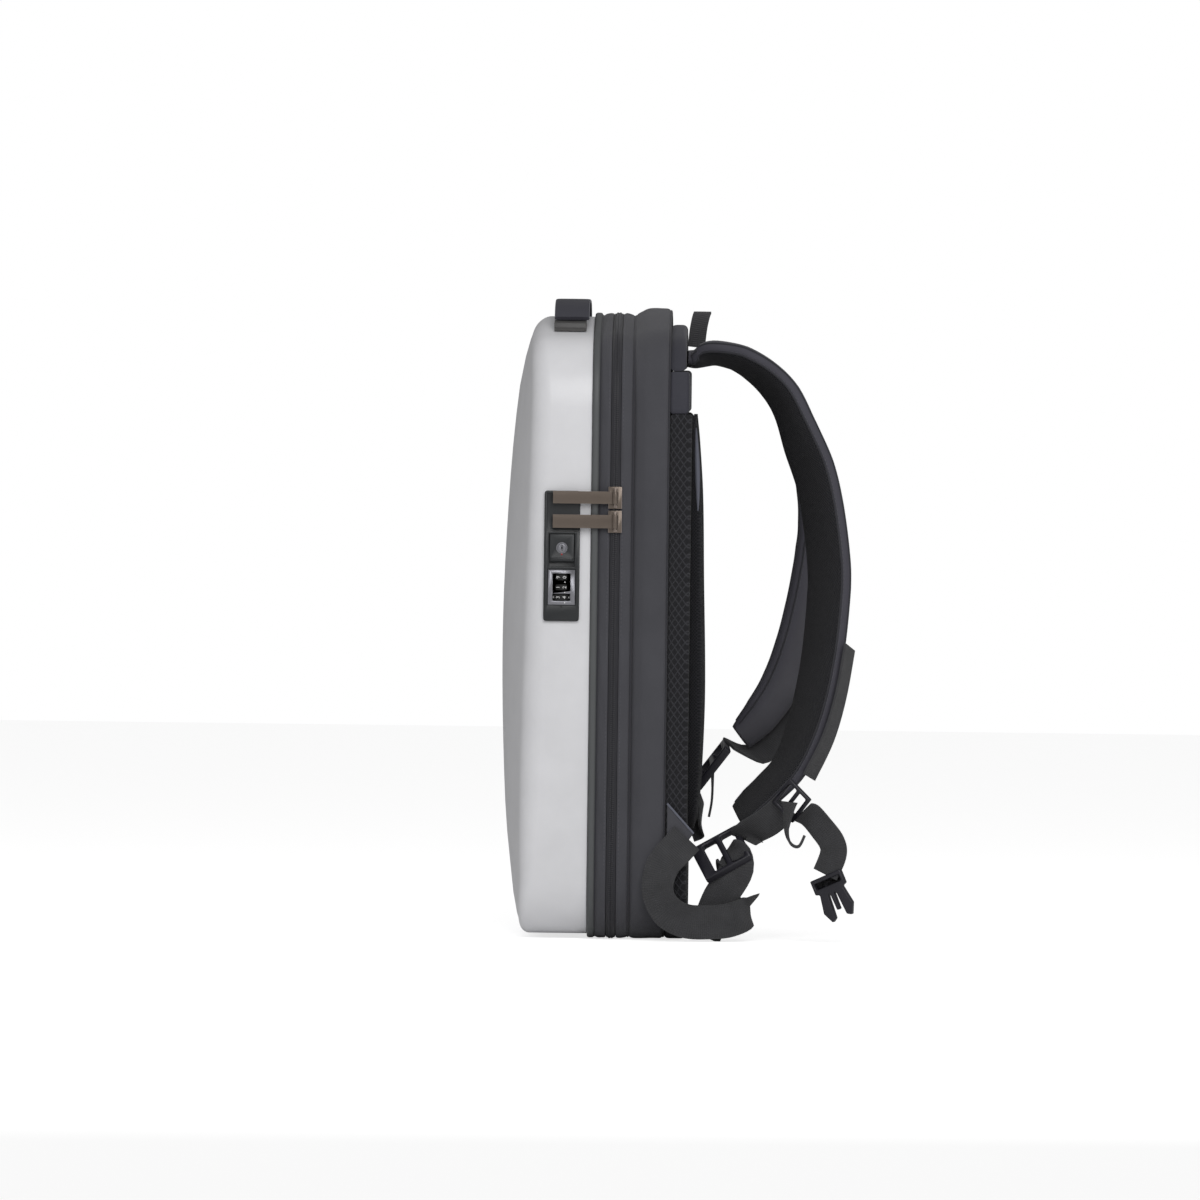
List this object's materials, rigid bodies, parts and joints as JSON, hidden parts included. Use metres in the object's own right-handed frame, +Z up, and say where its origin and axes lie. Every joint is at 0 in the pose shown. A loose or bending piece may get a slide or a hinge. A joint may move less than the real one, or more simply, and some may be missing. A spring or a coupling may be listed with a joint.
{
  "type": "hard shell backpack",
  "caption": "Upright backpack with a bulging hard front shell, side combination lock, coil zipper, padded back and padded shoulder straps.",
  "frame": {"origin": "on the flat base under the seam between the front and the rear cloth band, in the middle of the width", "axes": "+X to the wearer's right (the lock's side), +Y from the shell to the shoulder straps, +Z up; the base faces -Z"},
  "size_m": [0.3632, 0.2606, 0.4663],
  "materials": {
    "shell": "satin",
    "frame": "matte",
    "cloth": "matte",
    "mesh": "matte",
    "binding": "matte",
    "webbing": "matte",
    "plastic": "matte",
    "lock": "satin",
    "silver": "satin",
    "dial": "matte",
    "pull": "satin",
    "handle": "matte"
  },
  "bodies": {
    "pack": {"front_shell": "shell", "shell_frame": "frame", "front_gusset": "cloth", "zipper_band": "cloth", "middle_gusset": "cloth", "rear_gusset": "cloth", "back_mesh": "mesh", "upper_panel": "cloth", "yoke_pad": "cloth", "back_pad_right": "mesh", "back_pad_left": "mesh", "strap_right": "binding", "strap_left": "binding", "rail_web_right": "webbing", "rail_web_left": "webbing", "wing_right": "cloth", "wing_left": "cloth", "ladder_lock_right": "plastic", "ladder_lock_left": "plastic", "box_web_right": "webbing", "box_web_left": "webbing", "load_web_right": "webbing", "tail_web_right": "webbing", "load_web_left": "webbing", "tail_web_left": "webbing", "tri_glide": "plastic", "sternum_web_right": "webbing", "web_tail_right": "webbing", "male_buckle": "plastic", "sternum_web_left": "webbing", "female_buckle": "plastic", "handle_band": "handle", "handle_base_right": "handle", "handle_base_left": "handle", "grab_loop": "webbing", "lock_housing": "lock", "dial_bezel": "silver", "zipper_slider_upper": "pull", "zipper_slider_lower": "pull"},
    "pull_upper": {"zip_pull_upper": "pull"},
    "pull_lower": {"zip_pull_lower": "pull"},
    "dial_1": {"dial_1": "dial"},
    "dial_2": {"dial_2": "dial"},
    "dial_3": {"dial_3": "dial"},
    "slide": {"lock_slide": "lock"},
    "key": {"key_core": "silver"}
  },
  "joints": [
    {"name": "upper_pull_swing", "type": "hinge", "parent": "pack", "child": "pull_upper", "pos_m": [0.1569, -0.0225, 0.3218], "axis": [0, 0, 1], "range_deg": [0, 150]},
    {"name": "lower_pull_swing", "type": "hinge", "parent": "pack", "child": "pull_lower", "pos_m": [0.1569, -0.0225, 0.3044], "axis": [0, 0, 1], "range_deg": [0, 150]},
    {"name": "dial_1_turn", "type": "hinge", "parent": "pack", "child": "dial_1", "pos_m": [0.1464, -0.0609, 0.2635], "axis": [0, 0, 1], "continuous": true},
    {"name": "dial_2_turn", "type": "hinge", "parent": "pack", "child": "dial_2", "pos_m": [0.1464, -0.0609, 0.2562], "axis": [0, 0, 1], "continuous": true},
    {"name": "dial_3_turn", "type": "hinge", "parent": "pack", "child": "dial_3", "pos_m": [0.1464, -0.0609, 0.2489], "axis": [0, 0, 1], "continuous": true},
    {"name": "release_slide", "type": "slide", "parent": "pack", "child": "slide", "axis": [0, 0, -1], "range_m": [0, 0.0034], "stiffness_N_per_m": 200},
    {"name": "key_turn", "type": "hinge", "parent": "slide", "child": "key", "pos_m": [0.151, -0.0609, 0.2849], "axis": [1, 0, 0], "range_deg": [0, 90]}
  ]
}
